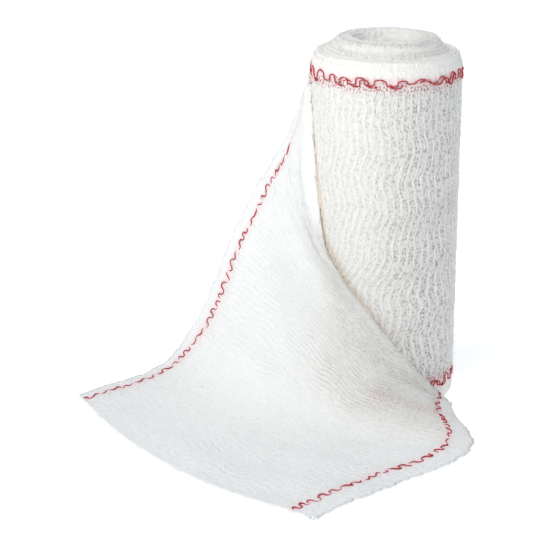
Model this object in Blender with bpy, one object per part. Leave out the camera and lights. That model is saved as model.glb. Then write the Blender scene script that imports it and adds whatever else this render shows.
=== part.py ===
"""A roll of crepe bandage standing on its end, its loose end folded down in front of it.

Two pieces of one woven strip: the wound roll, and the loose end, which leaves the roll at its
left, folds back over itself on a slanting crest and lies inner face up on the table.
Metres, +Z up. The origin is the centre of the roll's flat base.
"""

import math

import bmesh
import bpy
import numpy as np

MM = 0.001

# Driving dimensions
BANDAGE_WIDTH = 0.100
CLOTH_THICKNESS = 0.0010
ROLL_RADIUS = 0.0204
BASE_EDGE_ROUND = 0.0015
TURN_GAP = 0.0003  # between the roll and the layer of the loose end that still hugs it

# How finely the curves are cut
ROLL_SEGMENTS = 72
BASE_ROUND_STEPS = 4
SIDE_SHARES = (0.3, 0.6, 0.93)  # of the bandage's width, where the straight side has a ring
RIB_STEPS = 28  # across the strip, on each rib
RIB_SPACING = 0.003  # along the strip
CURVE_STEPS = 24  # between two given points of a rib, before it is cut into equal steps
RIB_STEP = BANDAGE_WIDTH / RIB_STEPS
SHARP_ANGLE = math.radians(50)

# The end of the roll: its turns stand a little higher towards the middle, round a shallow bowl.
# (radius, height) in mm, from the middle of the hollow out to the straight side.
TOP_PROFILE_MM = (
    (0.0, 97.4),
    (3.0, 97.9),
    (5.8, 99.4),
    (7.9, 101.4),
    (9.8, 102.4),
    (11.6, 102.5),
    (13.2, 102.0),
    (14.6, 101.0),
    (15.9, 99.5),
    (17.4, 98.8),
    (19.0, 98.3),
    (20.0, 96.8),
)

# The loose end, a row for each rib, which is a line straight across the strip. Millimetres:
# station:  how far the rib is from the cut end, along the strip
# top:      where the strip's top edge is
# shoulder: a point on the rib about a third of the way across the strip
# belly:    a point further on, where the rib bows out round the roll or lies on the table
# foot:     where the strip's bottom edge lies on the table
LYING_RIBS_MM = (
    # station  top                 shoulder               belly                  foot
    (0, (-86.5, -9.5, 0.0), (-71.0, -38.5, 0.0), (-44.5, -70.3, 0.0), (-20.9, -87.0)),
    (20, (-71.5, 4.0, 0.0), (-55.0, -26.0, 0.0), (-29.5, -57.5, 0.0), (-7.0, -74.5)),
    (36, (-60.5, 13.3, 1.5), (-44.5, -14.0, 0.0), (-18.0, -46.0, 0.0), (5.0, -63.5)),
    (44, (-56.9, 16.3, 6.5), (-39.5, -7.5, 1.5), (-12.0, -41.0, 0.0), (12.0, -58.5)),
    (52, (-53.4, 15.9, 13.5), (-36.0, -2.5, 6.0), (-6.5, -36.0, 0.0), (17.8, -53.0)),
    (60, (-50.3, 15.3, 20.5), (-33.5, 1.0, 12.5), (-2.5, -31.5, 1.5), (21.5, -46.5)),
    (68, (-47.5, 14.7, 27.8), (-32.0, 2.5, 20.5), (-0.5, -28.5, 5.5), (22.3, -38.0)),
    (76, (-44.9, 14.0, 35.2), (-31.0, 2.5, 28.5), (-1.5, -27.5, 11.5), (20.8, -30.0)),
    (84, (-42.0, 13.0, 42.6), (-30.5, 1.0, 36.0), (-4.0, -28.5, 16.0), (19.1, -22.5)),
    (92, (-38.7, 12.0, 49.8), (-30.5, -2.0, 42.5), (-8.5, -28.5, 21.5), (19.1, -13.9)),
)
# fold:     how high the crest is, over which the rib turns down onto the roll
FOLDED_RIBS_MM = (
    # station  top                 shoulder               belly                  fold
    (92, (-38.7, 12.0, 49.8), (-30.5, -2.0, 42.5), (-8.5, -28.5, 21.5), 0.0),
    (100, (-35.3, 10.8, 57.0), (-29.5, -4.0, 49.0), (-13.0, -27.0, 30.0), 8.0),
    (108, (-31.5, 9.2, 63.9), (-28.5, -5.0, 55.5), (-17.0, -23.5, 38.5), 18.5),
    (116, (-27.7, 7.4, 70.7), (-27.2, -3.0, 60.5), (-19.5, -18.5, 44.0), 29.0),
    (124, (-24.5, 6.6, 77.8), (-25.2, -2.0, 67.0), (-21.5, -12.5, 50.5), 38.0),
    (132, (-21.8, 8.3, 86.4), (-23.2, 0.5, 76.5), (-22.7, -6.0, 63.0), 49.0),
    (140, (-21.3, 8.0, 94.5), (-22.6, 3.2, 90.0), (-22.9, -0.5, 85.0), 78.0),
    (148, (-20.3, 3.1, 100.0), (-20.3, 3.1, 99.2), (-20.3, 3.1, 98.1), 96.5),
)
FOLD_END_STATION = 98 * MM  # the rib whose foot leaves the roll
FOLD_END_AZIMUTH = math.radians(308)
HUG_END_AZIMUTH = math.radians(140)
LAYER_CLEARANCE = 1.6 * MM  # between the middles of the folded layer and the layer behind it
CREST_STAND = 1.7 * MM  # how much further out than the layers the crest stands at its foot
FLAP_STAND = 4.5 * MM  # how much further out than that clearance the flap stands at its foot
BULGE_REACH = 9 * MM  # from the crest to where the flap stands out that far
BULGE_TOP = 60 * MM  # above this height the flap lies against the layer on the roll
NEAR_ROLL = (24 * MM, 28 * MM)  # the flap's own slope counts for nothing and in full at these radii
INTO_FOLD = 0.5  # the share of half the cloth's thickness that the turn has inside and outside
HUG_RADIUS = ROLL_RADIUS + TURN_GAP + CLOTH_THICKNESS / 2  # to the middle of the hugging layer


def remove_everything():
    """Empties the scene."""
    for thing in list(bpy.data.objects):
        bpy.data.objects.remove(thing, do_unlink=True)


def material(name, colour, roughness):
    """A Principled material in one colour."""
    made = bpy.data.materials.new(name)
    made.use_nodes = True
    shader = made.node_tree.nodes["Principled BSDF"]
    shader.inputs["Base Color"].default_value = (*colour, 1.0)
    shader.inputs["Roughness"].default_value = roughness
    shader.inputs["Metallic"].default_value = 0.0
    return made


def add_object(name, mesh_builder, made_of):
    """Turns a bmesh into an object with outward faces and smooth shading."""
    bmesh.ops.recalc_face_normals(mesh_builder, faces=mesh_builder.faces)
    mesh = bpy.data.meshes.new(name)
    mesh_builder.to_mesh(mesh)
    mesh_builder.free()
    mesh.shade_smooth()
    mesh.set_sharp_from_angle(angle=SHARP_ANGLE)
    mesh.materials.append(made_of)
    made = bpy.data.objects.new(name, mesh)
    bpy.context.scene.collection.objects.link(made)
    return made


def roll_profile():
    """The half outline of the roll as (radius, height), from the base's middle to the top's."""
    outline = [(0.0, 0.0)]
    for step in range(BASE_ROUND_STEPS + 1):
        turn = math.radians(90) * step / BASE_ROUND_STEPS
        radius = ROLL_RADIUS - BASE_EDGE_ROUND * (1 - math.sin(turn))
        outline.append((radius, BASE_EDGE_ROUND * (1 - math.cos(turn))))
    outline += [(ROLL_RADIUS, share * BANDAGE_WIDTH) for share in SIDE_SHARES]
    outline += [(radius * MM, height * MM) for radius, height in reversed(TOP_PROFILE_MM)]
    return outline


def build_wound_roll(cloth):
    """The wound roll: its outline turned about the axis."""
    builder = bmesh.new()
    outline = [builder.verts.new((radius, 0.0, height)) for radius, height in roll_profile()]
    edges = [builder.edges.new(pair) for pair in zip(outline, outline[1:])]
    bmesh.ops.spin(
        builder,
        geom=outline + edges,
        axis=(0, 0, 1),
        cent=(0, 0, 0),
        angle=2 * math.pi,
        steps=ROLL_SEGMENTS,
        use_merge=True,
    )
    bmesh.ops.remove_doubles(builder, verts=builder.verts, dist=1e-6)
    return add_object("wound_roll", builder, cloth)


def between(start, end, start_slope, end_slope, length, t):
    """The point a share t along the smooth curve from start to end."""
    return (
        (1 + 2 * t) * (1 - t) ** 2 * start
        + t * (1 - t) ** 2 * length * start_slope
        + t * t * (3 - 2 * t) * end
        - t * t * (1 - t) * length * end_slope
    )


def distances(points):
    """How far along the line each point is."""
    return np.concatenate([[0], np.cumsum(np.linalg.norm(np.diff(points, axis=0), axis=1))])


def smooth_curve(points, places, wanted):
    """What the smooth curve that has the given points at the given places has at wanted."""
    slopes = np.gradient(points, places, axis=0)
    k = min(int(np.searchsorted(places, wanted, side="right")) - 1, len(places) - 2)
    length = places[k + 1] - places[k]
    ends = (points[k], points[k + 1], slopes[k], slopes[k + 1])
    return between(*ends, length, (wanted - places[k]) / length)


def smooth_line(points, steps):
    """Points at equal steps along a smooth curve through the given ones."""
    points = np.asarray(points, float)
    knots = distances(points)
    fine_knots = np.interp(
        np.arange((len(points) - 1) * CURVE_STEPS + 1) / CURVE_STEPS, np.arange(len(points)), knots
    )
    fine = np.array([smooth_curve(points, knots, knot) for knot in fine_knots])
    travelled = distances(fine)
    places = np.linspace(0, travelled[-1], steps + 1)
    return np.stack([np.interp(places, travelled, fine[:, axis]) for axis in range(3)], axis=1)


def on_roll(azimuth, height):
    """The middle of the cloth where it hugs the roll."""
    return np.array((HUG_RADIUS * math.cos(azimuth), HUG_RADIUS * math.sin(azimuth), height))


def keep_off_roll(flap):
    """Moves a flap's points that are too near the axis straight out, past the layer on the roll.

    Away from its last point, which is on the crest, a flap bellies out, and most of all low down.
    """
    from_crest = np.linalg.norm(flap - flap[-1], axis=1)
    low = np.maximum(1 - flap[:, 2] / BULGE_TOP, 0)
    bulge = FLAP_STAND * low * np.minimum(from_crest / BULGE_REACH, 1)
    nearest = HUG_RADIUS + LAYER_CLEARANCE + bulge
    push = np.maximum(nearest / np.hypot(flap[:, 0], flap[:, 1]), 1.0)
    push[-1] = 1.0
    return flap * np.stack([push, push, np.ones(len(flap))], axis=1)


def on_crest(azimuth, fold):
    """The middle of the cloth where it turns over, which is further out the lower it is."""
    radius = HUG_RADIUS + LAYER_CLEARANCE / 2 + CREST_STAND * (1 - fold / BANDAGE_WIDTH) ** 2
    height = fold + CLOTH_THICKNESS / 2
    return np.array((radius * math.cos(azimuth), radius * math.sin(azimuth), height))


def hug_azimuth(station):
    """Where round the roll the rib at this station stands."""
    return FOLD_END_AZIMUTH - (station - FOLD_END_STATION) / HUG_RADIUS


def table_row(table, station):
    """(top, shoulder, belly, foot or fold) at any station of a table of ribs, in metres."""
    stations = [row[0] * MM for row in table]
    values = np.array([np.concatenate([np.ravel(value) for value in row[1:]]) for row in table]) * MM
    row = smooth_curve(values, stations, station)
    return row[0:3], row[3:6], row[6:9], row[9:]


def lying_rib(station):
    """A rib that comes down from the raised top edge and lies on the table."""
    top, shoulder, belly, foot = table_row(LYING_RIBS_MM, station)
    rib = smooth_line([top, shoulder, belly, (*foot, 0.0)], RIB_STEPS)
    rib[:, 2] = np.maximum(rib[:, 2], 0) + CLOTH_THICKNESS / 2
    return keep_off_roll(rib)


def folded_rib(turned_steps):
    """A rib that bows out from the top edge, turns over the crest and drops down the roll.

    That many of its steps lie beyond the crest, so the crest runs from corner to corner of the
    sheet's cells.
    """
    fold = turned_steps * RIB_STEP
    folds = [row[-1] * MM for row in FOLDED_RIBS_MM]
    station = np.interp(fold, folds, [row[0] * MM for row in FOLDED_RIBS_MM])
    azimuth = hug_azimuth(station)
    top, shoulder, belly, _ = table_row(FOLDED_RIBS_MM, station)
    crest = on_crest(azimuth, fold)
    flap = smooth_line([top, shoulder, belly, crest], RIB_STEPS - turned_steps)
    heights = np.linspace(fold, 0, turned_steps + 1)[1:] + CLOTH_THICKNESS / 2
    return np.concatenate([keep_off_roll(flap), [on_roll(azimuth, height) for height in heights]])


def hugging_ribs():
    """The straight ribs of the last stretch, which still hugs the roll."""
    start = hug_azimuth(FOLDED_RIBS_MM[-1][0] * MM + RIB_SPACING / 2)
    heights = np.linspace(BANDAGE_WIDTH, 0, RIB_STEPS + 1) + CLOTH_THICKNESS / 2
    count = round((start - HUG_END_AZIMUTH) * HUG_RADIUS / RIB_SPACING)
    azimuths = np.linspace(start, HUG_END_AZIMUTH, count + 1)
    return [np.array([on_roll(azimuth, height) for height in heights]) for azimuth in azimuths]


def loose_end_ribs():
    """(every rib from the cut end to the roll, where on each the crest is, as a count of steps)."""
    lying_length = LYING_RIBS_MM[-1][0] * MM
    stations = np.linspace(0, lying_length, round(lying_length / RIB_SPACING) + 1)
    ribs = [lying_rib(station) for station in stations]
    crests = [RIB_STEPS] * len(ribs)
    for turned_steps in range(1, RIB_STEPS):
        ribs.append(folded_rib(turned_steps))
        crests.append(RIB_STEPS - turned_steps)
    on_the_roll = hugging_ribs()
    return np.array(ribs + on_the_roll), crests + [0] * len(on_the_roll)


def unit(vectors):
    """The vectors, each made one long."""
    return vectors / np.linalg.norm(vectors, axis=-1, keepdims=True)


def cloth_normals(ribs, crests):
    """Which way is out of the cloth at each point, on the face that looks out on the roll."""
    slopes = unit(np.cross(np.gradient(ribs, axis=0), np.gradient(ribs, axis=1)))
    outward = unit(ribs * (1, 1, 0))
    share = np.interp(np.hypot(ribs[..., 0], ribs[..., 1]), NEAR_ROLL, (0, 1))[..., None]
    normals = unit(share * slopes - (1 - share) * outward)
    for rib, crest, normal, radial in zip(ribs, crests, normals, outward):
        on_the_roll = crest + 1 if crest else 0
        normal[on_the_roll:] = radial[on_the_roll:]
        if 0 < crest < RIB_STEPS:
            # Over the crest the cloth turns back, so there the way out is into the fold.
            flap, down = unit(rib[[crest - 1, crest + 1]] - rib[crest])
            normal[crest] = unit(flap + down) * INTO_FOLD
    normals[crests.index(0), 0] = (0, 0, -INTO_FOLD)
    return normals


def add_grid(builder, points):
    """Fills a grid of points with triangles, whose slanting sides run as the crest does."""
    rows = [[builder.verts.new(point) for point in rib] for rib in points]
    for here, after in zip(rows, rows[1:]):
        for a, b, c, d in zip(here, here[1:], after[1:], after):
            builder.faces.new((a, b, d))
            builder.faces.new((b, c, d))
    return rows


def rim(rows):
    """The corners all the way round a grid."""
    right = [row[-1] for row in rows[1:]]
    left = [row[0] for row in rows[-2:0:-1]]
    return rows[0] + right + rows[-1][-2::-1] + left


def build_loose_end(cloth):
    """The loose end: a sheet of the cloth's thickness through its ribs."""
    ribs, crests = loose_end_ribs()
    half = cloth_normals(ribs, crests) * CLOTH_THICKNESS / 2
    builder = bmesh.new()
    faces = [add_grid(builder, ribs + half), add_grid(builder, ribs - half)]
    outer, inner = [rim(rows) for rows in faces]
    for a, b, c, d in zip(outer, outer[1:] + outer[:1], inner[1:] + inner[:1], inner):
        builder.faces.new((a, b, c, d))
    return add_object("loose_end", builder, cloth)


def main():
    remove_everything()
    wound_cloth = material("wound crepe", (0.86, 0.84, 0.79), 0.9)
    loose_cloth = material("loose crepe", (0.88, 0.87, 0.84), 0.9)
    build_wound_roll(wound_cloth)
    build_loose_end(loose_cloth)


main()
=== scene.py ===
"""Looks for the crepe bandage roll: its crepe weave, marker threads, fuzz and light.

Everything is one woven strip. A place on it is (station, across): station is the distance from
the cut end along the strip, across is the distance from the strip's bottom edge. All sizes in
this script are in millimetres until a mesh is made.
"""

import math

import bpy
import numpy as np
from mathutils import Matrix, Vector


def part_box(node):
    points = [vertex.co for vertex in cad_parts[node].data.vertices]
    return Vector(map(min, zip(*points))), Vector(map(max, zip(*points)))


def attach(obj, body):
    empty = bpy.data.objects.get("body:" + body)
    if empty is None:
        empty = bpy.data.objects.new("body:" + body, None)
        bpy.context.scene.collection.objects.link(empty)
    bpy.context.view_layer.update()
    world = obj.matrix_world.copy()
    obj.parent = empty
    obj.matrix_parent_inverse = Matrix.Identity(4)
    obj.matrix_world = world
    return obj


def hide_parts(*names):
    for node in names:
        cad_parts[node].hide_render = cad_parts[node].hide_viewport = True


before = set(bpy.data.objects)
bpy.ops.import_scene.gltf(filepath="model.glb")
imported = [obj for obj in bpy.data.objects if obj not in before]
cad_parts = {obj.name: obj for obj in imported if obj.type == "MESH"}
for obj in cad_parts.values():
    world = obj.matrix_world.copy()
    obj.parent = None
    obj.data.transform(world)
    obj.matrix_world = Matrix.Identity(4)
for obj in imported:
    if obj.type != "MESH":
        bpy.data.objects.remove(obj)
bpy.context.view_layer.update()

MM = 0.001
ROLL_LOW, ROLL_HIGH = (np.array(corner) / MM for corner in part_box("wound_roll"))

# The strip
WIDTH = 100.0
CLOTH = 0.7  # thickness
HEM = 6.5  # from an edge to its marker thread
ROLL_RADIUS = (ROLL_HIGH[0] - ROLL_LOW[0]) / 2
LAYER_GAP = 0.05  # between the roll and the layer of the loose end that hugs it
HUG_RADIUS = ROLL_RADIUS + LAYER_GAP + CLOTH / 2  # to the middle of that layer
LOWEST = 0.02  # how near the table the points of cloth and fibres may come

# The crepe weave
RIB_PITCH = 2.0
RIB_HEIGHT = 0.24  # half of the relief from valley to ridge
HEM_RIB_SHARE = 0.22  # of that height left in the hems
SLITS_PER_RIB = 2.8
SLIT_PITCH = 1.0  # between the small slits along a valley
SLIT_STRETCH = 0.6  # what a step along a slit counts against one across it, so slits are long
ROUGHNESS = 0.08  # how far single points of the roll's side stray
ROLL_SHUT = 0.38  # how open the roll's weave is where it is most shut; 1 is fully open
# The roll's front right is painted in shade through this: its more open weave there draws darker.
ROLL_OPENING_AND_SHADE = 0.62  # how much further it opens on the roll's front right
LOOSE_SHUT = 0.2  # how open the loose end's weave is where it lies flat
LOOSE_OPENING = 0.65  # how much further it opens where it is pulled round the fold

# The marker threads
THREAD_RADIUS = 0.18
THREAD_STEP = 0.2  # between the points of a thread's path
THREAD_SIDES = 6
THREAD_STAND = 0.05  # how far the middle of its weaving stands off the loose end's faces
SECOND_THREAD = {"sunk": 0.34, "shift": 1.1, "period": 12.7}  # the roll's second, half-hidden one

# The roll
COLUMNS_PER_RIB = 6
ROLL_RIBS = 62
BASE_ROUND = 1.6
BASE_SHARES = (0.02, 0.35, 0.7, 0.9)  # of the flat base's radius, where it has a ring
BASE_STEPS = 6
SIDE_TOP = 95.0  # where the straight side gives way to the roll's end
SIDE_ROWS = 96
SEAM_RIBS = 4  # over this many ribs from the seam, the ribs grow wavy

# Where the loose end leaves the roll
FOLD_END_STATION = 98.0
FOLD_END_AZIMUTH = math.radians(308)
HUG_END_AZIMUTH = math.radians(140)
HUG_END_STATION = FOLD_END_STATION + (FOLD_END_AZIMUTH - HUG_END_AZIMUTH) * HUG_RADIUS

# The loose end's ribs, cut end first. Each rib is a smooth line from the strip's top edge (top)
# through two points of its own (shoulder, belly) to the bottom edge on the table (foot).
LYING_RIBS = (
    # station  top                 shoulder               belly                  foot
    (0, (-86.5, -9.5, 0.0), (-71.0, -38.5, 0.0), (-44.5, -70.3, 0.0), (-20.9, -87.0)),
    (20, (-71.5, 4.0, 0.0), (-55.0, -26.0, 0.0), (-29.5, -57.5, 0.0), (-7.0, -74.5)),
    (36, (-60.5, 13.3, 1.5), (-44.5, -14.0, 0.0), (-19.5, -48.0, 0.0), (5.0, -63.5)),
    (44, (-56.9, 16.3, 6.5), (-39.5, -7.5, 1.5), (-14.5, -44.2, 0.0), (12.0, -58.5)),
    (52, (-53.4, 15.9, 13.5), (-36.0, -2.5, 6.0), (-10.0, -40.4, 0.0), (17.8, -53.0)),
    (60, (-50.3, 15.3, 20.5), (-34.5, 0.0, 12.5), (-6.3, -36.8, 0.6), (21.5, -46.5)),
    (68, (-47.5, 14.7, 27.8), (-33.0, 1.5, 20.0), (-3.0, -33.5, 3.6), (22.3, -38.0)),
    (76, (-44.9, 14.0, 35.2), (-31.5, 1.0, 27.5), (-2.5, -31.0, 8.6), (20.8, -30.0)),
    (84, (-42.0, 13.0, 42.6), (-30.5, -0.5, 35.0), (-4.0, -29.5, 14.2), (19.1, -22.5)),
    (92, (-38.7, 12.0, 49.8), (-30.0, -2.5, 42.0), (-8.0, -27.5, 20.5), (19.1, -13.9)),
)
# These turn over a crest at the height fold, and come down the roll to its foot.
FOLDED_RIBS = (
    # station  top                 shoulder               belly                  fold
    (92, (-38.7, 12.0, 49.8), (-30.0, -2.5, 42.0), (-8.0, -27.5, 20.5), 0.0),
    (100, (-35.3, 10.8, 57.0), (-29.0, -4.0, 48.5), (-12.5, -24.8, 29.0), 8.0),
    (108, (-31.5, 9.2, 63.9), (-28.0, -4.5, 55.0), (-16.0, -21.0, 37.5), 18.5),
    (116, (-27.7, 7.4, 70.7), (-26.6, -3.0, 60.5), (-18.6, -16.5, 44.0), 29.0),
    (124, (-24.5, 6.6, 77.8), (-24.8, -2.0, 67.0), (-20.6, -11.5, 50.5), 38.0),
    (132, (-21.3, 7.8, 86.4), (-22.2, 0.5, 76.5), (-21.8, -6.0, 63.0), 49.0),
    (140, (-19.9, 7.4, 92.6), (-20.9, 3.2, 89.6), (-21.2, -0.5, 84.6), 78.0),
    (148, (-19.0, 3.4, 97.4), (-19.4, 3.4, 97.0), (-19.8, 3.5, 96.6), 96.2),
)
LAYER_CLEARANCE = 0.95  # between the middles of the flap and of the layer on the roll
CLOSING = (40, 74)  # over these heights of the crest the two layers close up to each other
CLOSED_SHARE = 0.85  # how much of the clearance is gone once they have
FOLD_DROP = 4.0  # how far below the crest the strip is back against the roll
CREST_STAND = 2.2  # how much further out than the layers the crest stands at its foot
CREST_TUCKS = (
    # how far it is tucked in, between the heights of the crest: from, to
    (0.495, 30, 56),
    (0.605, 60, 84),
)
FLAP_STAND = 2.0  # how much further out than that the flap stands at its foot
BULGE_REACH = 9.0  # from the crest to where the flap stands out that far
BULGE_TOP = 60.0  # above this height the flap lies against the layer on the roll
TURN_SHARE = 0.2  # of that reach, over which the crest's turn opens to the full clearance
SOFT_MEETING = 2.5  # over which the flap's own curve gives way to the roll's
RIM = (93.5, 98.6)  # the heights between which cloth on the roll bends in over its rim
RIM_DRAW = 1.5  # how far in it bends
HUG_TOP = 98.2  # the height of the hugging layer's top edge
CURVE_STEPS = 24  # between two given points of a rib
COARSE_STEP = 2.0  # between the ribs that are worked out where the strip is nearly flat
FINE_STEP = 0.5  # and where it folds
SOFTENING_ROUNDS = 40  # for the bends where the cloth comes down to the table
SHEET_ROWS = 98  # of points across the strip
SHEET_COLUMNS_PER_RIB = 5

# The end of the roll: (radius, height) from the middle of the hollow out to the side.
TOP_PROFILE = (
    (0.0, 93.6),
    (3.0, 94.0),
    (5.4, 95.6),
    (7.2, 98.6),
    (8.4, 100.9),
    (9.8, 102.2),
    (11.4, 102.4),
    (13.2, 102.0),
    (14.7, 101.0),
    (15.9, 99.6),
    (17.4, 98.8),
    (18.9, 98.3),
    (19.8, 97.1),
)
TOP_EDGE = 95.3  # the height at which that outline meets the side
TURN_PITCH = 0.95  # between the turns that show on the end of the roll
END_STEP = 0.24  # between the rows of points on it
DOTTED_BANDS = (
    # from radius, to radius, how open the weave shows
    (15.2, 17.0, 0.45),
    (11.9, 14.0, 0.65),
)
LIP_RADIUS = 6.2  # the innermost turn, which stands up on one side of the hollow
LIP_WIDTH = 0.9
LIP_HEIGHT = 3.4
LIP_AZIMUTH = 0.4

# Loose fibres
FIBRE_RINGS = 4
ROLL_FIBRES = 3600
END_FIBRES = 700
LOOSE_FIBRES = 4200
EDGE_FIBRE_SHARE = 0.35  # of the loose end's, which stand along its two long edges
FIBRE_LENGTHS = (0.5, 1.3)
FIBRE_SHAPE = {"radius": 0.05, "curl": 0.5}
YARN_ENDS = 260
YARN_LENGTHS = (0.6, 1.8)
YARN_SHAPE = {"radius": 0.16, "curl": 0.35}
CORNER_YARNS = (3.0, 2.2)  # this near the strip's corner, they are so much longer

# Colours
CREAM_RIDGE = (0.98, 0.96, 0.92, 1)
CREAM_VALLEY = (0.82, 0.80, 0.775, 1)
CREAM_SLIT = (0.36, 0.33, 0.30, 1)
WHITE_RIDGE = (0.975, 0.98, 0.99, 1)
WHITE_VALLEY = (0.96, 0.955, 0.935, 1)
WHITE_SLIT = (0.72, 0.60, 0.46, 1)
# the tan of the roll's painted crevice shade, also the loose end's warm tint
WARM_TINT_AND_PAINTED_SHADE = (0.80, 0.60, 0.40, 1)
RED_SLIT = (0.36, 0.01, 0.03, 1)
PINK_TINT = (0.95, 0.45, 0.48, 1)
THREAD_RED = (0.50, 0.02, 0.045, 1)
FIBRE_WHITE = (0.96, 0.96, 0.96, 1)

# Stage, in metres
FLOOR_HALF = 3.0
FLOOR_WHITE = (0.96, 0.96, 0.96, 1)
FLOOR_GLOW = 0.58
SKY_COLOUR = (0.76, 0.88, 1.0, 1)
SKY_STRENGTH = 0.30
LAMP_AIM = (0, 0, 0.05)
LAMPS = (
    # name, place, size, power, colour
    ("key", (-0.52, -0.42, 1.0), 0.7, 7.6, (1.0, 0.975, 0.935)),
    ("front", (-0.05, -0.75, 0.95), 0.8, 3.0, (1.0, 0.99, 0.97)),
    ("side", (0.7, -0.1, 0.5), 0.8, 0.2, (0.8, 0.88, 1.0)),
)
CAMERA_PLACE = (-0.0309, -0.4582, 0.1872)
CAMERA_TILT = math.radians(71.54)  # from looking straight down
LENS = 111.9  # focal length and sensor width in millimetres
SENSOR = 36

random = np.random.default_rng(11)


# ---------------------------------------------------------------- curves


def smoothstep(low, high, x):
    """0 up to low, 1 from high on, and a smooth rise between them; high may be the lower one."""
    t = np.clip((x - low) / (high - low), 0, 1)
    return t * t * (3 - 2 * t)


def between(start, end, start_slope, end_slope, length, t):
    """The point a share t along the smooth curve from start to end."""
    return (
        (1 + 2 * t) * (1 - t) ** 2 * start
        + t * (1 - t) ** 2 * length * start_slope
        + t * t * (3 - 2 * t) * end
        - t * t * (1 - t) * length * end_slope
    )


def distances(points):
    """How far along the line each point is."""
    return np.concatenate([[0], np.cumsum(np.linalg.norm(np.diff(points, axis=0), axis=1))])


def fine_line(points):
    """A smooth curve through the given points, in many small steps."""
    points = np.asarray(points, float)
    knots = distances(points)
    slopes = np.gradient(points, knots, axis=0)
    fine = [points[0]]
    for k in range(len(points) - 1):
        ends = (points[k], points[k + 1], slopes[k], slopes[k + 1], knots[k + 1] - knots[k])
        fine += [between(*ends, step / CURVE_STEPS) for step in range(1, CURVE_STEPS + 1)]
    return np.array(fine)


# ---------------------------------------------------------------- the weave


# These are sums of sine waves of unlike lengths, so that no stretch of the weave repeats another.


def wave(station, across):
    """How far a rib strays along the strip: slow bends in the middle, and wiggles all over."""
    inside = smoothstep(0, 25, across) * smoothstep(WIDTH - 4, WIDTH - 32, across)
    slow = 0.75 * np.sin(across / 2.5 + 0.09 * station + 1.3 * np.sin(station / 11))
    slow = slow + 0.55 * np.sin(across / 5.3 - 0.05 * station + 2 * np.sin(station / 23))
    middle = 0.17 * np.sin(across / 0.9 + 1.6 * np.sin(station / 4.1))
    quick = 0.07 * np.sin(across / 0.47 + 2.2 * np.sin(station / 2.3))
    return inside * slow + middle + quick


def openness(across):
    """1 where the weave is open and ribbed, 0 in the plain hems."""
    edge = np.minimum(across, WIDTH - across)
    return smoothstep(HEM - 1.6, HEM + 1.8, edge)


def relief(phase, across):
    """Height of the crepe's ribs above the middle of the cloth's face."""
    ridge = 2 * (0.5 + 0.5 * np.cos(2 * math.pi * phase)) ** 1.4 - 1
    strength = HEM_RIB_SHARE + (1 - HEM_RIB_SHARE) * openness(across)
    uneven = 0.75 + 0.25 * np.sin(across / 1.3 + 2.7 * phase) * np.sin(across / 5.1 - 1.9 * phase)
    return RIB_HEIGHT * ridge * strength * uneven


def marks(across, opened=1.0):
    """(open weave, pink of the marker thread, red seen through the holes beside it)."""
    across = np.asarray(across, float)
    edge = np.minimum(across, WIDTH - across)
    pink = np.exp(-(((edge - HEM) / 1.0) ** 2))
    seen_through = smoothstep(HEM - 0.3, HEM + 0.9, edge) * smoothstep(HEM + 3.9, HEM + 1.8, edge)
    return openness(across) * opened, pink, seen_through


def hem_narrowing(station, across):
    """How much nearer to the top edge its marker thread runs along the lying part."""
    return 2.4 * smoothstep(125, 70, station) * smoothstep(WIDTH - 18, WIDTH - 8, across)


def roll_opened_and_shaded(azimuth):
    """How wide the weave of the roll's outer turn stands open: most on its front right, which paints
    shade there, as the more open weave darkens that side.
    """
    degrees = np.degrees(azimuth) % 360
    return ROLL_SHUT + ROLL_OPENING_AND_SHADE * smoothstep(240, 305, degrees) * smoothstep(350, 325, degrees)


def loose_opened(station, across):
    """How wide the weave of the loose end stands open: most where it is pulled round the fold."""
    pulled = smoothstep(52, 72, station) * smoothstep(66, 40, across)
    on_the_roll = 0.5 * smoothstep(134, 150, station)
    return LOOSE_SHUT + LOOSE_OPENING * np.maximum(pulled, on_the_roll)


# ---------------------------------------------------------------- meshes


def make_mesh(name, points, faces, look, attributes=None):
    """An object from points in millimetres, faces, and its point attributes."""
    mesh = bpy.data.meshes.new(name)
    mesh.from_pydata((np.asarray(points) * MM).tolist(), [], faces)
    for kind, values in (attributes or {}).items():
        layer = mesh.attributes.new(kind, "FLOAT_VECTOR", "POINT")
        layer.data.foreach_set("vector", np.asarray(values, np.float32).ravel())
    mesh.materials.append(look)
    mesh.shade_smooth()
    made = bpy.data.objects.new(name, mesh)
    bpy.context.scene.collection.objects.link(made)
    return made


def grid_faces(columns, rows, first=0, flip=False):
    """Quads of a columns by rows grid of points, numbered row after row within a column.

    They look against the grid's normals, or along them when flipped. Known fault: so the grids of
    the roll and of the loose end look inwards. Turning them changes how the weave looks.
    """
    index = first + np.arange(columns * rows).reshape(columns, rows)
    quads = np.stack([index[:-1, :-1], index[:-1, 1:], index[1:, 1:], index[1:, :-1]], axis=-1)
    quads = quads.reshape(-1, 4)
    return (quads[:, ::-1] if flip else quads).tolist()


def grid_normals(grid):
    """Unit normals of a grid of points: along its columns' order crossed with its rows' order."""
    along = np.gradient(grid, axis=0)
    across = np.gradient(grid, axis=1)
    normal = np.cross(along, across)
    return normal / np.maximum(np.linalg.norm(normal, axis=-1, keepdims=True), 1e-9)


# ---------------------------------------------------------------- the loose end's shape


def on_roll(azimuth, height, radius=HUG_RADIUS):
    return np.array((radius * math.cos(azimuth), radius * math.sin(azimuth), height))


def hug_azimuth(station):
    return FOLD_END_AZIMUTH - (station - FOLD_END_STATION) / HUG_RADIUS


def clearance(crest_height):
    """How far apart the two layers are where the crest is at this height."""
    return LAYER_CLEARANCE * (1 - CLOSED_SHARE * smoothstep(*CLOSING, crest_height))


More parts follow.
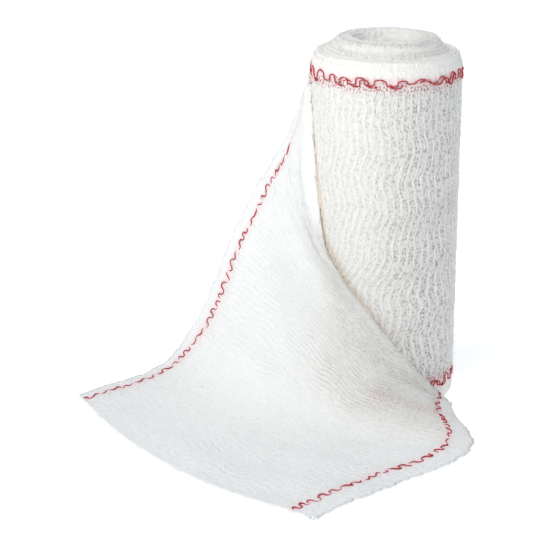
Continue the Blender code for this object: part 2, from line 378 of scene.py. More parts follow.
def keep_off_roll(flap, crest):
    """Moves a flap's points that are too near the axis straight out, past the layer on the roll.

    Away from the crest a flap bellies out, and most of all low down.
    """
    from_crest = np.minimum(np.linalg.norm(flap - crest, axis=1) / BULGE_REACH, 1)
    bulge = FLAP_STAND * np.maximum(1 - flap[:, 2] / BULGE_TOP, 0) * from_crest
    nearest = HUG_RADIUS + clearance(crest[2]) * smoothstep(0, TURN_SHARE, from_crest) + bulge
    nearest = nearest - rim_draw(flap[:, 2])
    radius = np.hypot(flap[:, 0], flap[:, 1])
    blend = SOFT_MEETING * from_crest * smoothstep(96, 80, flap[:, 2])
    push = (radius + nearest + np.sqrt((radius - nearest) ** 2 + blend**2)) / (2 * radius)
    return flap * np.stack([push, push, np.ones(len(flap))], axis=1)


def rim_draw(height):
    """How far cloth on the roll is drawn in over the roll's rounded rim."""
    return RIM_DRAW * smoothstep(*RIM, height) ** 1.5


def table_row(table, station):
    """(top, shoulder, belly, foot or fold) at any station of a table of ribs."""
    stations = np.array([row[0] for row in table], float)
    values = np.array([np.concatenate([np.ravel(value) for value in row[1:]]) for row in table])
    slopes = np.gradient(values, stations, axis=0)
    k = min(int(np.searchsorted(stations, station, side="right")) - 1, len(stations) - 2)
    length = stations[k + 1] - stations[k]
    ends = (values[k], values[k + 1], slopes[k], slopes[k + 1])
    row = between(*ends, length, (station - stations[k]) / length)
    return row[0:3], row[3:6], row[6:9], row[9:]


def even_steps(line):
    """SHEET_ROWS points at equal steps along a line of many points."""
    travelled = distances(line)
    steps = np.linspace(0, travelled[-1], SHEET_ROWS)
    return np.stack([np.interp(steps, travelled, line[:, axis]) for axis in range(3)], axis=1)


def lying_rib(station):
    """A rib that comes down from the raised top edge and lies on the table."""
    top, shoulder, belly, foot = table_row(LYING_RIBS, station)
    line = fine_line([top, shoulder, belly, (*foot, 0.0)])
    line[:, 2] = np.maximum(line[:, 2], 0) + CLOTH / 2 + RIB_HEIGHT
    return even_steps(keep_off_roll(line, line[-1]))


def folded_rib(station):
    """A rib that bows out from the top edge, turns over the crest and drops down the roll."""
    azimuth = hug_azimuth(station)
    top, shoulder, belly, (fold,) = table_row(FOLDED_RIBS, station)
    tuck = sum(depth * smoothstep(low, high, fold) for depth, low, high in CREST_TUCKS)
    stand = clearance(fold) / 2 + CREST_STAND * (1 - fold / WIDTH) ** 2 - tuck
    crest = on_roll(azimuth, fold + CLOTH / 2, HUG_RADIUS + stand)
    flap = keep_off_roll(fine_line([top, shoulder, belly, crest]), crest)
    down = np.linspace(0, fold, CURVE_STEPS)[1:]
    radius = HUG_RADIUS + stand * smoothstep(FOLD_DROP, 0, down)
    on_the_roll = [on_roll(azimuth, crest[2] - drop, r) for drop, r in zip(down, radius)]
    return even_steps(np.concatenate([flap, on_the_roll]))


def hugging_rib(station):
    """A straight rib on the roll, its top edge drawn in over the roll's rim."""
    azimuth = hug_azimuth(station)
    height = np.linspace(HUG_TOP, CLOTH / 2, SHEET_ROWS)
    radius = HUG_RADIUS - rim_draw(height)
    return np.stack([radius * math.cos(azimuth), radius * math.sin(azimuth), height], axis=1)


LYING_STATIONS = np.arange(0.0, LYING_RIBS[-1][0], COARSE_STEP)
FOLDED_STATIONS = np.arange(FOLDED_RIBS[0][0] + FINE_STEP, FOLDED_RIBS[-1][0] + 0.1, FINE_STEP)
HUGGING_STATIONS = np.arange(FOLDED_STATIONS[-1], HUG_END_STATION, COARSE_STEP) + COARSE_STEP
SHEET_STATIONS = np.concatenate([LYING_STATIONS, FOLDED_STATIONS, HUGGING_STATIONS])
SHEET_RIBS = np.array(
    [lying_rib(station) for station in LYING_STATIONS]
    + [folded_rib(station) for station in FOLDED_STATIONS]
    + [hugging_rib(station) for station in HUGGING_STATIONS]
)
# Soften the bends where the cloth comes down to the table.
for _ in range(SOFTENING_ROUNDS):
    heights = SHEET_RIBS[: len(LYING_STATIONS) + 1, :, 2]
    heights[1:-1] = (heights[:-2] + 2 * heights[1:-1] + heights[2:]) / 4
    heights[:, 1:-1] = (heights[:, :-2] + 2 * heights[:, 1:-1] + heights[:, 2:]) / 4
SHEET_SLOPES = np.gradient(SHEET_RIBS, SHEET_STATIONS, axis=0)
SHEET_ACROSS = np.linspace(WIDTH, 0, SHEET_ROWS)


def plain_sheet(station, across):
    """The middle of the cloth at each place on the strip, before its edges and ripples."""
    row = np.clip((WIDTH - across) / WIDTH, 0, 1) * (SHEET_ROWS - 1)
    low = np.clip(np.floor(row).astype(int), 0, SHEET_ROWS - 2)
    share = (row - low)[..., None]
    k = np.searchsorted(SHEET_STATIONS, station, side="right") - 1
    k = np.clip(k, 0, len(SHEET_STATIONS) - 2)
    length = (SHEET_STATIONS[k + 1] - SHEET_STATIONS[k])[..., None]
    t = (station - SHEET_STATIONS[k])[..., None] / length
    found = 0
    for step, weight in ((0, 1 - share), (1, share)):
        at = low + step
        starts = (SHEET_RIBS[k, at], SHEET_RIBS[k + 1, at])
        slopes = (SHEET_SLOPES[k, at], SHEET_SLOPES[k + 1, at])
        found = found + weight * between(*starts, *slopes, length, t)
    return found


def cloth_sheet(station, across):
    """The middle of the cloth with its scalloped edges, and its ripples on the table."""
    points = plain_sheet(station, across)
    edge = np.minimum(across, WIDTH - across)
    scallop = 0.14 * np.sin(station / 0.37 + 2 * np.sin(station / 7))
    scallop = scallop + 0.2 * np.sin(station / 1.45 + 1)
    scallop = scallop + 0.16 * np.sin(station / 0.83 + 2 * np.sin(station / 2.9))
    rim = smoothstep(4, 0, edge) * np.where(across > WIDTH / 2, 1, -1)
    direction = plain_sheet(station, across + 0.5) - plain_sheet(station, across - 0.5)
    direction /= np.maximum(np.linalg.norm(direction, axis=-1, keepdims=True), 1e-6)
    points = points + direction * (scallop * rim)[..., None]
    lying = smoothstep(95, 60, station)
    ripple = 0.5 + 0.5 * np.sin(station / 2.6 + across / 14.0 + 1.5 * np.sin(across / 21.0))
    swell = 0.5 + 0.5 * np.sin(station / 7.0 - across / 9.0)
    lift = 0.3 * ripple * smoothstep(0, 8, edge) + 0.6 * swell * smoothstep(0, 10, station)
    points[..., 2] = np.maximum(points[..., 2] + lying * lift, CLOTH / 2)
    return points


def across_tangent(station, across):
    """A step along the cloth towards its bottom edge."""
    return cloth_sheet(station, across - 0.4) - cloth_sheet(station, across + 0.4)


def inner_normal(station, across):
    """The way the strip's inner face looks, which is up on the table and to the axis on the roll."""
    along = cloth_sheet(station + 0.4, across) - cloth_sheet(station - 0.4, across)
    normal = np.cross(across_tangent(station, across), along)
    return normal / np.linalg.norm(normal, axis=1, keepdims=True)


def sheet_grid():
    """Points of the cloth's middle on a grid that follows the ribs, with weave coordinates."""
    ribs = round(HUG_END_STATION / RIB_PITCH)
    columns = SHEET_COLUMNS_PER_RIB * ribs + 1
    phase = np.linspace(0, ribs, columns)[:, None] * np.ones(SHEET_ROWS)
    across = np.ones(columns)[:, None] * SHEET_ACROSS
    even = phase / ribs * HUG_END_STATION
    calm = smoothstep(0, 5, even) * smoothstep(HUG_END_STATION, HUG_END_STATION - 6, even)
    station = even - wave(even, across) * calm
    station = even - wave(station, across) * calm
    ragged = 0.25 * np.sin(across * 3.1) + 0.2 * np.sin(across * 1.7 + 1)
    ragged = ragged + 0.15 * np.sin(across * 7.3)
    station = np.clip(station + ragged * smoothstep(3, 0, even), 0, HUG_END_STATION)
    return cloth_sheet(station, across), station, phase, across


# ---------------------------------------------------------------- looks


class Nodes:
    """Short ways to add and join a material's nodes."""

    def __init__(self, name):
        self.look = bpy.data.materials.new(name)
        self.look.use_nodes = True
        self.tree = self.look.node_tree
        self.shader = self.tree.nodes["Principled BSDF"]

    def add(self, kind, inputs=None, **settings):
        node = self.tree.nodes.new(kind)
        for setting, value in settings.items():
            setattr(node, setting, value)
        for socket, value in (inputs or {}).items():
            self.feed(node.inputs[socket], value)
        return node

    def feed(self, socket, value):
        if isinstance(value, bpy.types.NodeSocket):
            self.tree.links.new(value, socket)
        else:
            socket.default_value = value

    def math(self, operation, first, second=0.0):
        return self.add("ShaderNodeMath", {0: first, 1: second}, operation=operation).outputs[0]

    def plus(self, first, second):
        return self.math("ADD", first, second)

    def minus(self, first, second):
        return self.math("SUBTRACT", first, second)

    def times(self, first, second):
        return self.math("MULTIPLY", first, second)

    def vector(self, operation, first, second=(0, 0, 0)):
        return self.add("ShaderNodeVectorMath", {0: first, 1: second}, operation=operation)

    def attribute(self, name):
        return self.split(self.add("ShaderNodeAttribute", attribute_name=name).outputs["Vector"])

    def ramp(self, value, low, high, out_low=0.0, out_high=1.0):
        """smoothstep between low and high, from out_low to out_high."""
        inputs = {"Value": value, "From Min": low, "From Max": high}
        inputs.update({"To Min": out_low, "To Max": out_high})
        node = self.add("ShaderNodeMapRange", inputs, interpolation_type="SMOOTHSTEP")
        return node.outputs["Result"]

    def mix(self, share, first, second):
        node = self.add("ShaderNodeMix", data_type="RGBA")
        self.feed(node.inputs["Factor"], share)
        self.feed(node.inputs[6], first)
        self.feed(node.inputs[7], second)
        return node.outputs[2]

    def split(self, vector):
        return self.add("ShaderNodeSeparateXYZ", {0: vector}).outputs

    def join(self, x, y, z=0.0):
        return self.add("ShaderNodeCombineXYZ", {0: x, 1: y, 2: z}).outputs[0]

    def noise(self, vector, scale, detail=2.0):
        inputs = {"Vector": vector, "Scale": scale, "Detail": detail}
        return self.add("ShaderNodeTexNoise", inputs).outputs[0]


def crepe(name, ridge_colour, valley_colour, slit_colour, slit_share):
    """The crepe weave, drawn from the strip's own coordinates.

    The point attribute weave holds the place in ribs, the place across the strip, and a warm tan
    that is painted shade on the roll and a tint on the loose end; the other holds how open the
    weave is (painted shade as well on the roll's front right), the pink tint, and the red seen
    through it.
    """
    made = Nodes(name)
    phase, across, shade = made.attribute("weave")
    opened, pink, seen_through = made.attribute("marks_and_painted_shade")

    # The yarns wander a little off the ribs that the mesh has.
    wander = made.noise(made.join(made.times(phase, 0.9), made.times(across, 0.9)), 1.0)
    strand = made.plus(phase, made.times(made.minus(wander, 0.5), 0.40))
    swing = made.math("COSINE", made.times(strand, 2 * math.pi))
    ridge = made.ramp(swing, -0.1, 0.85)

    # Small slits between the yarns, most of them in the valleys, a cell of the weave to each.
    cell = made.join(made.times(strand, SLITS_PER_RIB), made.math("DIVIDE", across, SLIT_PITCH))
    spots = made.add(
        "ShaderNodeTexVoronoi",
        {"Vector": cell, "Scale": 1.0, "Randomness": 0.8},
        voronoi_dimensions="2D",
    )
    away = made.vector("SUBTRACT", cell, spots.outputs["Position"]).outputs[0]
    cell_size = (RIB_PITCH / SLITS_PER_RIB, SLIT_STRETCH * SLIT_PITCH, 0)
    away = made.vector("MULTIPLY", away, cell_size).outputs[0]
    away = made.vector("LENGTH", away).outputs["Value"]
    chance, size, _ = made.split(spots.outputs["Color"])
    spot = made.ramp(away, made.ramp(size, 0.0, 1.0, 0.22, 0.42), 0.05)
    in_valley = made.minus(1.0, made.times(ridge, 0.85))
    likely = made.times(made.ramp(chance, -0.2, 0.8), in_valley)
    slit = made.times(made.times(spot, likely), made.times(opened, slit_share))

    # Yarn-scale mottling: strokes of crossing yarn, and plain grain.
    strokes = made.noise(made.join(made.times(strand, 4.4), made.times(across, 1.5)), 1.0, 3.0)
    place = made.add("ShaderNodeTexCoord").outputs["Object"]
    grain = made.noise(place, 2600.0, 3.0)
    crumple = made.noise(place, 750.0, 4.0)

    valley = made.times(opened, made.minus(1.0, ridge))
    colour = made.mix(valley, ridge_colour, valley_colour)
    patchy = made.times(made.ramp(strokes, 0.60, 0.38, 0.0, 0.9), opened)
    colour = made.mix(patchy, colour, valley_colour)
    colour = made.mix(made.ramp(grain, 0.60, 0.38, 0.0, 0.35), colour, valley_colour)
    # Painted shade: a warm tan in the roll's crevice beside the fold; on the loose end, a warm tint.
    colour = made.mix(shade, colour, WARM_TINT_AND_PAINTED_SHADE)
    beside_thread = made.times(made.times(spot, seen_through), 0.95)
    slit_look = made.mix(seen_through, slit_colour, RED_SLIT)
    colour = made.mix(made.math("MAXIMUM", slit, beside_thread), colour, slit_look)
    blush = made.math("MAXIMUM", made.times(pink, 0.30), made.times(seen_through, 0.14))
    colour = made.mix(blush, colour, PINK_TINT)
    made.feed(made.shader.inputs["Base Color"], colour)
    made.shader.inputs["Roughness"].default_value = 0.9
    made.shader.inputs["Sheen Weight"].default_value = 0.2
    made.shader.inputs["Sheen Roughness"].default_value = 0.6

    height = made.plus(made.times(strokes, 0.8), made.times(grain, 0.5))
    height = made.plus(height, made.times(made.times(ridge, opened), 0.8))
    height = made.minus(height, made.times(slit, 0.8))
    shut = made.minus(1.0, opened)
    height = made.plus(height, made.times(made.times(crumple, shut), 2.0))
    bump = made.add("ShaderNodeBump", {"Height": height, "Strength": 0.9, "Distance": 0.0004})
    made.feed(made.shader.inputs["Normal"], bump.outputs[0])
    return made.look


def plain(name, colour, roughness=0.8, glow=0.0):
    """A material in one colour, which may give off some white light."""
    made = Nodes(name)
    made.shader.inputs["Base Color"].default_value = colour
    made.shader.inputs["Roughness"].default_value = roughness
    if glow:
        made.shader.inputs["Emission Color"].default_value = (1, 1, 1, 1)
        made.shader.inputs["Emission Strength"].default_value = glow
    return made.look


# ---------------------------------------------------------------- the wound roll


def lean(azimuth, height):
    """How far the ribs are dragged round the roll, low on its front, by the pull of the fold."""
    low = smoothstep(60, 31, height)
    degrees = np.degrees(azimuth) % 360
    amount = 6.5 - 5.0 * smoothstep(285, 345, degrees) - 4.0 * smoothstep(240, 200, degrees)
    amount = np.where(degrees < 170, 1.5, amount)
    return low * amount


def surface_radius(azimuth):
    """The roll's outer turn: it grows by one layer from under the loose end round to its start."""
    return ROLL_RADIUS + CLOTH * smoothstep(-60, 140, np.degrees(azimuth))


def painted_crevice_shade(azimuth, height):
    """A warm tan painted on the roll in the crevice beside the upper part of the fold: painted shade.
    """
    folds = [row[-1] for row in FOLDED_RIBS]
    crest = np.interp(height, folds, [hug_azimuth(row[0]) for row in FOLDED_RIBS])
    beside = (azimuth % (2 * math.pi) - crest) * ROLL_RADIUS
    band = smoothstep(-1.5, 0.2, beside) * smoothstep(2.2, 0.2, beside)
    return 0.55 * band * smoothstep(14, 40, height) * smoothstep(82, 72, height)


def roll_profile():
    """(radius, height) over the roll's end, from the hollow's middle out to the side."""
    outline = [(0.0, radius, height) for radius, height in TOP_PROFILE]
    outline.append((0.0, ROLL_RADIUS, TOP_EDGE))
    return fine_line(outline)[:, 1:]


def turns_on_end(step, radius, azimuth, phase):
    """(how much higher, how open) the roll's end is where its nested turns show."""
    rings = (ROLL_RADIUS - radius) / TURN_PITCH
    sway = np.sin(azimuth)
    ridge = (0.5 + 0.5 * np.cos(2 * math.pi * rings + azimuth)) ** 0.7 - 0.5
    uneven = 0.6 + 0.4 * np.sin(2.3 * rings + 1.1 + sway) * np.sin(5.1 * rings - 1.5 * sway)
    strength = 0.3 + 1.1 * smoothstep(13.2, 14.6, radius) + 0.9 * smoothstep(9.6, 8.0, radius)
    slump = 0.22 * np.sin(1.9 * rings + 0.8 * sway) + 0.12 * np.sin(3 * azimuth + rings)
    fade = smoothstep(0.5, 2.0, step) * smoothstep(0.6, 2.5, radius)
    lift = fade * (0.8 * strength * uneven * ridge + slump)
    lip = np.exp(-(((radius - LIP_RADIUS) / LIP_WIDTH) ** 2))
    lift = lift + LIP_HEIGHT * lip * smoothstep(-0.5, 0.5, np.cos(azimuth - LIP_AZIMUTH))
    lift = lift + 0.06 * np.cos(2 * math.pi * phase) * smoothstep(8, 14, radius)
    open_here = 0.0
    for low, high, openly in DOTTED_BANDS:
        within = smoothstep(low, low + 0.5, radius) * smoothstep(high, high - 0.5, radius)
        open_here += openly * within
    # The dots show on the front half.
    return lift, open_here * (0.25 + 0.75 * smoothstep(0.2, 0.7, -np.sin(azimuth)))


def build_roll(look):
    """The roll in rows of points, from its base up the side and in over its end."""
    columns = COLUMNS_PER_RIB * ROLL_RIBS + 1
    phase = np.linspace(0, ROLL_RIBS, columns)
    even_azimuth = HUG_END_AZIMUTH - phase / ROLL_RIBS * 2 * math.pi
    seam = smoothstep(0, SEAM_RIBS, phase) * smoothstep(ROLL_RIBS, ROLL_RIBS - SEAM_RIBS, phase)
    full = np.ones(columns)
    rows = []
    weave = []
    marks_and_painted_shade = []

    def azimuths(height):
        """Where each column is at this height, as its rib strays and leans."""
        station = HUG_END_STATION + phase * RIB_PITCH
        stray = wave(station, height)
        stray = wave(station - stray * seam, height)
        turned = even_azimuth + stray * seam / ROLL_RADIUS
        return turned - lean(turned, height) * seam / ROLL_RADIUS

    def add_row(azimuth, radius, height, across, mark, shade=0.0):
        level = (radius * np.cos(azimuth), radius * np.sin(azimuth), height * full)
        rows.append(np.stack(level, axis=1))
        weave.append(np.stack([phase, across * full, shade * full], axis=1))
        marks_and_painted_shade.append(np.stack([value * full for value in mark], axis=1))

    # The flat base, then its rounded edge.
    lowest = azimuths(BASE_ROUND)
    for share in BASE_SHARES:
        add_row(lowest, share * (ROLL_RADIUS - BASE_ROUND), 0.0, 0.0, (0, 0, 0))
    for turn in np.linspace(0, math.pi / 2, BASE_STEPS + 1)[:-1]:
        radius = surface_radius(even_azimuth) - BASE_ROUND * (1 - math.sin(turn))
        add_row(lowest, radius, BASE_ROUND * (1 - math.cos(turn)), BASE_ROUND * turn, (0, 0, 0))
    for height in np.linspace(BASE_ROUND, SIDE_TOP, SIDE_ROWS):
        azimuth = azimuths(height)
        rough = random.normal(scale=ROUGHNESS, size=columns)
        radius = surface_radius(azimuth) + relief(phase, height) + rough
        # Painted shade: the weave is made more open, and so darker, on the roll's front right.
        mark = marks(height, roll_opened_and_shaded(azimuth))
        # Painted shade: a warm tan in the crevice beside the fold.
        add_row(azimuth, radius, height, height, mark, painted_crevice_shade(azimuth, height))
    # The end of the roll, from the rim in to the hollow.
    profile = roll_profile()[::-1]
    travelled = distances(profile)
    rim = azimuths(SIDE_TOP)
    for step in np.arange(0.4, travelled[-1], END_STEP):
        radius = np.interp(step, travelled, profile[:, 0])
        height = np.interp(step, travelled, profile[:, 1])
        grown = smoothstep(17, 20, radius) * (surface_radius(rim) - ROLL_RADIUS)
        lift, open_here = turns_on_end(step, radius, even_azimuth, phase)
        mark = (open_here, 0, 0.3 * open_here)
        add_row(rim, radius + grown, height + lift, SIDE_TOP + step, mark)

    points = np.concatenate(rows)
    levels = len(rows)
    # Close the roll at its two poles.
    bottom = len(points)
    top = bottom + 1
    points = np.concatenate([points, [(0, 0, 0), (0, 0, rows[-1][:, 2].mean() - 0.3)]])
    weave = np.concatenate([*weave, np.zeros((2, 3))])
    marks_and_painted_shade = np.concatenate([*marks_and_painted_shade, np.zeros((2, 3))])
    faces = grid_faces(levels, columns)
    last = (levels - 1) * columns
    for k in range(columns):
        after = (k + 1) % columns
        faces.append((bottom, k, after))
        faces.append((top, last + after, last + k))
    for level in range(levels - 1):
        a = level * columns + columns - 1
        b = level * columns
        faces.append((a + columns, b + columns, b, a))
    return make_mesh("roll_of_crepe", points, faces, look, {"weave": weave, "marks_and_painted_shade": marks_and_painted_shade})


# ---------------------------------------------------------------- the loose end


def glimpse(points):
    """Where the roll's lower marker thread is glimpsed through the loose end in front of it."""
    x, y, height = np.moveaxis(points, -1, 0)
    degrees = np.degrees(np.arctan2(y, x)) % 360
    before = smoothstep(258, 264, degrees) * smoothstep(318, 308, degrees)
    away = np.hypot(x, y) - ROLL_RADIUS - 10.5
    return 0.5 * np.exp(-((away / 2.0) ** 2)) * before * (height < 12)


def build_sheet(look):
    """The loose end: two faces either side of its middle, and a rim that joins them."""
    middle, station, phase, across = sheet_grid()
    outwards = grid_normals(middle)
    columns, rows = phase.shape
    # Its ribs are nearly flat on the table, low round the fold and full where it hugs the roll.
    ribbed = 0.03 + 0.19 * smoothstep(55, 80, station) + 0.78 * smoothstep(136, 150, station)
    bumps = (relief(phase, across) * ribbed)[..., None] * outwards
    outer = middle + bumps + outwards * CLOTH / 2
    inner = middle + bumps - outwards * CLOTH / 2
    both = np.concatenate([outer.reshape(-1, 3), inner.reshape(-1, 3)])
    both[:, 2] = np.maximum(both[:, 2], LOWEST)
    opened_here = loose_opened(station, across)
    warmth = 0.15 * (opened_here - LOOSE_SHUT) + 0.10 * smoothstep(140, 152, station)
    weave = np.stack([phase, across, warmth], axis=-1).reshape(-1, 3)
    woven = across - hem_narrowing(station, across)
    opened, pink, seen_through = marks(woven, opened_here)
    marks_and_painted_shade = np.stack([opened, pink, 0.3 * seen_through + glimpse(middle)], axis=-1).reshape(-1, 3)
    count = columns * rows
    faces = grid_faces(columns, rows) + grid_faces(columns, rows, count, flip=True)
    index = np.arange(count).reshape(columns, rows)
    loop = np.concatenate([index[:, 0], index[-1, 1:], index[-2::-1, -1], index[0, -2:0:-1]])
    for a, b in zip(loop, np.roll(loop, -1)):
        faces.append((int(a), int(b), int(b + count), int(a + count)))
    attributes = {"weave": np.concatenate([weave, weave]), "marks_and_painted_shade": np.concatenate([marks_and_painted_shade, marks_and_painted_shade])}
    return make_mesh("loose_end_of_crepe", both, faces, look, attributes)


# ---------------------------------------------------------------- marker threads


def tube(path, radius, sides):
    """(points, faces) of a round thread along a path, with closed ends.

    Known fault: the faces look inwards.
    """
    along = np.gradient(path, axis=0)
    along /= np.linalg.norm(along, axis=1, keepdims=True)
    helper = np.array((0.0, 0.0, 1.0)) + 0.01 * along
    side = np.cross(along, helper)
    side /= np.maximum(np.linalg.norm(side, axis=1, keepdims=True), 1e-6)
    up = np.cross(side, along)
    turn = np.linspace(0, 2 * math.pi, sides, endpoint=False)
    ring = np.cos(turn)[None, :, None] * side[:, None] + np.sin(turn)[None, :, None] * up[:, None]
    points = path[:, None] + radius * ring
    count = len(path)
    faces = []
    for k in range(count - 1):
        for j in range(sides):
            a = k * sides + j
            b = k * sides + (j + 1) % sides
            faces.append((a, b, b + sides, a + sides))
    faces.append(tuple(range(sides))[::-1])
    faces.append(tuple((count - 1) * sides + j for j in range(sides)))
    return points.reshape(-1, 3), faces


def thread_wave(station):
    """(stray along the strip, stray across it) of the wavy marker thread."""
    swing = 2 * math.pi * station / 5.3 + 1.1 * np.sin(station / 5.7) + 0.5 * np.sin(station / 2.9)
    size = 0.95 + 0.3 * np.sin(station / 9.1 + 1) + 0.2 * np.sin(station / 3.7)
    along = -(0.34 + 0.16 * np.sin(station / 7.3)) * np.sin(2 * swing) + 0.25 * np.sin(0.5 * swing)
    return along, size * np.sin(swing) + 0.2 * np.sin(0.37 * swing + 1.0)


def join_tubes(name, paths, look):
    """One piece of a thread along each path."""
    points = []
    faces = []
    total = 0
    for path in paths:
        more, quads = tube(path, THREAD_RADIUS, THREAD_SIDES)
        faces += [tuple(v + total for v in quad) for quad in quads]
        points.append(more)
        total += len(more)
    return make_mesh(name, np.concatenate(points), faces, look)


def roll_thread_path(height_of_line, sunk=0.0, shift=0.0, period=1.9):
    """A marker thread round the roll: the main one, or a second one that shows here and there."""
    first_azimuth = HUG_END_AZIMUTH - 0.02
    station = np.arange(0, 2 * math.pi * ROLL_RADIUS, THREAD_STEP)
    along, stray = thread_wave(station + shift + 13 * (height_of_line > WIDTH / 2))
    azimuth = np.minimum(first_azimuth - (station + along) / ROLL_RADIUS, first_azimuth)
    height = height_of_line + stray
    swing = station * 2 * math.pi / period + 2 * np.sin(station / 4.3)
    weaving = (0.12 + 1.3 * sunk) * np.sin(swing)
    radius = surface_radius(azimuth) + RIB_HEIGHT * 0.4 + 0.07 - sunk + weaving
    return np.stack([radius * np.cos(azimuth), radius * np.sin(azimuth), height], axis=1)


def build_roll_threads(look):
    """The thread in each edge of the roll, and a second one half hidden beside it."""
    paths = [roll_thread_path(line) for line in (HEM, WIDTH - HEM)]
    for line in (HEM - 0.3, WIDTH - HEM - 0.5):
        paths.append(roll_thread_path(line, **SECOND_THREAD))
    return join_tubes("roll_marker_threads", paths, look)


def sheet_thread_path(line, side):
    """A marker thread along the loose end, on its outer face (side 1) or its inner one (-1)."""
    station = np.arange(0.6, HUG_END_STATION - 1, THREAD_STEP)
    along, stray = thread_wave(1.5 * station + 21 * (line > WIDTH / 2) + 5 * side)
    at = np.clip(station + 0.6 * along, 0.5, HUG_END_STATION - 0.5)
    across = line + 0.7 * stray + hem_narrowing(station, line)
    here = cloth_sheet(at, across)
    outer = -inner_normal(at, across)
    weaving = 0.17 * np.sin(station * 2 * math.pi / 3.7 + 2 * np.sin(station / 5.3))
    weaving = weaving + 0.12 * np.sin(station * 2 * math.pi / 9.1)
    # The upper thread runs inside the cloth where the fold's top turns away, and comes out again
    # on the outer face behind it.
    back_out = smoothstep(148, 153, station) * (side > 0)
    hidden = smoothstep(117, 127, station) * (line > WIDTH / 2) * (1 - back_out)
    stand = side * (CLOTH / 2 + THREAD_STAND + weaving) * (1 - hidden)
    path = here + outer * stand[:, None]
    path[:, 2] = np.maximum(path[:, 2], THREAD_RADIUS)
    return path


def build_sheet_threads(look):
    """The thread in each edge of the loose end, on both of its faces."""
    paths = [sheet_thread_path(line, side) for line in (HEM, WIDTH - HEM) for side in (1, -1)]
    return join_tubes("loose_end_marker_threads", paths, look)


# ---------------------------------------------------------------- loose fibres


def fibres(name, look, starts, directions, lengths, radius, curl):
    """Many short closed three-sided fibres, each bent a little its own way."""
    count = len(starts)
    directions = directions / np.linalg.norm(directions, axis=1, keepdims=True)
    bend = random.normal(size=(count, 3))
    bend -= (bend * directions).sum(axis=1, keepdims=True) * directions
    bend /= np.linalg.norm(bend, axis=1, keepdims=True)
    side = np.cross(directions, bend)
    rings = []
    for share in np.linspace(0, 1, FIBRE_RINGS):
        reach = (lengths * share)[:, None]
        middle = starts + reach * directions + reach * share * curl * bend
        thin = radius * (1 - 0.6 * share)
        for turn in (0, 2 * math.pi / 3, 4 * math.pi / 3):
            rings.append(middle + thin * (math.cos(turn) * bend + math.sin(turn) * side))
    points = np.stack(rings, axis=1).reshape(-1, 3)
    points[:, 2] = np.maximum(points[:, 2], LOWEST)
    faces = []
    for first in range(0, count * 3 * FIBRE_RINGS, 3 * FIBRE_RINGS):
        for ring in range(first, first + 3 * (FIBRE_RINGS - 1), 3):
            for a, b in ((0, 1), (1, 2), (2, 0)):
                faces.append((ring + a, ring + b, ring + b + 3, ring + a + 3))
        end = first + 3 * (FIBRE_RINGS - 1)
        faces.append((first + 2, first + 1, first))
        faces.append((end, end + 1, end + 2))
    return make_mesh(name, points, faces, look)


def build_roll_fuzz(look):
    """Fibres that stand off the roll's side and end."""
    azimuth = random.uniform(0, 2 * math.pi, ROLL_FIBRES)
    height = random.uniform(2, SIDE_TOP + 1, ROLL_FIBRES)
    out = np.stack([np.cos(azimuth), np.sin(azimuth), np.zeros(ROLL_FIBRES)], axis=1)
    starts = out * surface_radius(azimuth)[:, None]
    starts[:, 2] = height
    profile = roll_profile()
    profile = profile[profile[:, 1] > SIDE_TOP + 1]
    picked = random.integers(0, len(profile), END_FIBRES)
    turned = random.uniform(0, 2 * math.pi, END_FIBRES)
    radius = profile[picked, 0]
    ends = np.stack([radius * np.cos(turned), radius * np.sin(turned), profile[picked, 1]], axis=1)
    up = np.tile((0.0, 0.0, 1.0), (END_FIBRES, 1))
    starts = np.concatenate([starts, ends])
    directions = np.concatenate([out, up]) + random.normal(scale=0.9, size=starts.shape)
    lengths = random.uniform(*FIBRE_LENGTHS, len(starts))
    return fibres("roll_fuzz", look, starts, directions, lengths, **FIBRE_SHAPE)


def build_sheet_fuzz(look):
    """Fibres on the loose end's inner face and long edges, and the yarn ends along its cut."""
    station = random.uniform(1, 140, LOOSE_FIBRES)
    across = random.uniform(1, WIDTH - 1, LOOSE_FIBRES)
    on_edge = random.uniform(size=LOOSE_FIBRES) < EDGE_FIBRE_SHARE
    across = np.where(on_edge, np.where(across > WIDTH / 2, WIDTH - 0.3, 0.3), across)
    starts = cloth_sheet(station, across)
    inner = inner_normal(station, across)
    outward = across_tangent(station, across)
    outward *= np.where(across > WIDTH / 2, -1, 1)[:, None]
    outward /= np.linalg.norm(outward, axis=1, keepdims=True)
    directions = np.where(on_edge[:, None], outward, inner)
    directions = directions + random.normal(scale=0.6, size=starts.shape)
    starts = starts + inner * (CLOTH / 2 * ~on_edge)[:, None]
    lengths = random.uniform(*FIBRE_LENGTHS, LOOSE_FIBRES)
    fuzz = fibres("loose_end_fuzz", look, starts, directions, lengths, **FIBRE_SHAPE)

    place = random.uniform(0.3, WIDTH - 0.3, YARN_ENDS)
    edge = np.full(YARN_ENDS, 0.6)
    starts = cloth_sheet(edge, place)
    outward = cloth_sheet(edge, place) - cloth_sheet(edge + 1.5, place)
    outward /= np.linalg.norm(outward, axis=1, keepdims=True)
    corner, longer = CORNER_YARNS
    lengths = random.uniform(*YARN_LENGTHS, YARN_ENDS) + longer * (place < corner)
    directions = outward + random.normal(scale=0.35, size=starts.shape) * (1, 1, 0.3)
    return fuzz, fibres("cut_yarn_ends", look, starts, directions, lengths, **YARN_SHAPE)


# ---------------------------------------------------------------- stage


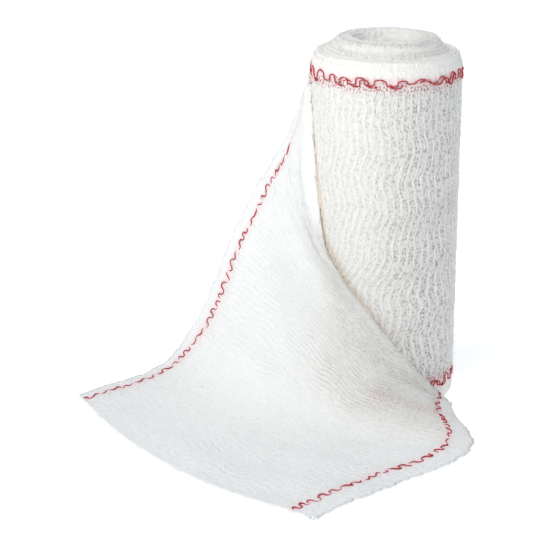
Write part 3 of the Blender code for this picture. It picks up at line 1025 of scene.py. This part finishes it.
def build_stage():
    """The floor, the soft light and the camera."""
    half = FLOOR_HALF / MM
    corners = [(-half, -half, 0), (half, -half, 0), (half, half, 0), (-half, half, 0)]
    floor_look = plain("pale floor", FLOOR_WHITE, 0.9, FLOOR_GLOW)
    make_mesh("floor", corners, [(0, 1, 2, 3)], floor_look)

    world = bpy.data.worlds.new("studio")
    world.use_nodes = True
    background = world.node_tree.nodes["Background"]
    background.inputs["Color"].default_value = SKY_COLOUR
    background.inputs["Strength"].default_value = SKY_STRENGTH
    bpy.context.scene.world = world

    for name, place, size, power, colour in LAMPS:
        data = bpy.data.lights.new(name, "AREA")
        data.size = size
        data.energy = power
        data.color = colour
        lamp = bpy.data.objects.new(name, data)
        lamp.location = place
        x, y, z = np.array(LAMP_AIM) - np.array(place)
        lamp.rotation_euler = (math.atan2(math.hypot(x, y), -z), 0, math.atan2(-x, y))
        bpy.context.scene.collection.objects.link(lamp)

    data = bpy.data.cameras.new("camera")
    data.lens = LENS
    data.sensor_width = SENSOR
    camera = bpy.data.objects.new("camera", data)
    camera.location = CAMERA_PLACE
    camera.rotation_euler = (CAMERA_TILT, 0, 0)
    bpy.context.scene.collection.objects.link(camera)
    bpy.context.scene.camera = camera
    bpy.context.scene.view_settings.view_transform = "Standard"


# ---------------------------------------------------------------- build


roll_look = crepe("crepe", CREAM_RIDGE, CREAM_VALLEY, CREAM_SLIT, 0.8)
sheet_look = crepe("loose crepe", WHITE_RIDGE, WHITE_VALLEY, WHITE_SLIT, 0.62)
thread_look = plain("marker thread", THREAD_RED)
fibre_look = plain("fibre", FIBRE_WHITE)

roll = build_roll(roll_look)
sheet = build_sheet(sheet_look)
roll_threads = build_roll_threads(thread_look)
sheet_threads = build_sheet_threads(thread_look)

roll_fuzz = build_roll_fuzz(fibre_look)
sheet_fuzz, cut_yarns = build_sheet_fuzz(fibre_look)

for piece in (roll, sheet, roll_threads, sheet_threads, roll_fuzz, sheet_fuzz, cut_yarns):
    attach(piece, "root")
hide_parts("wound_roll")
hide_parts("loose_end")

build_stage()
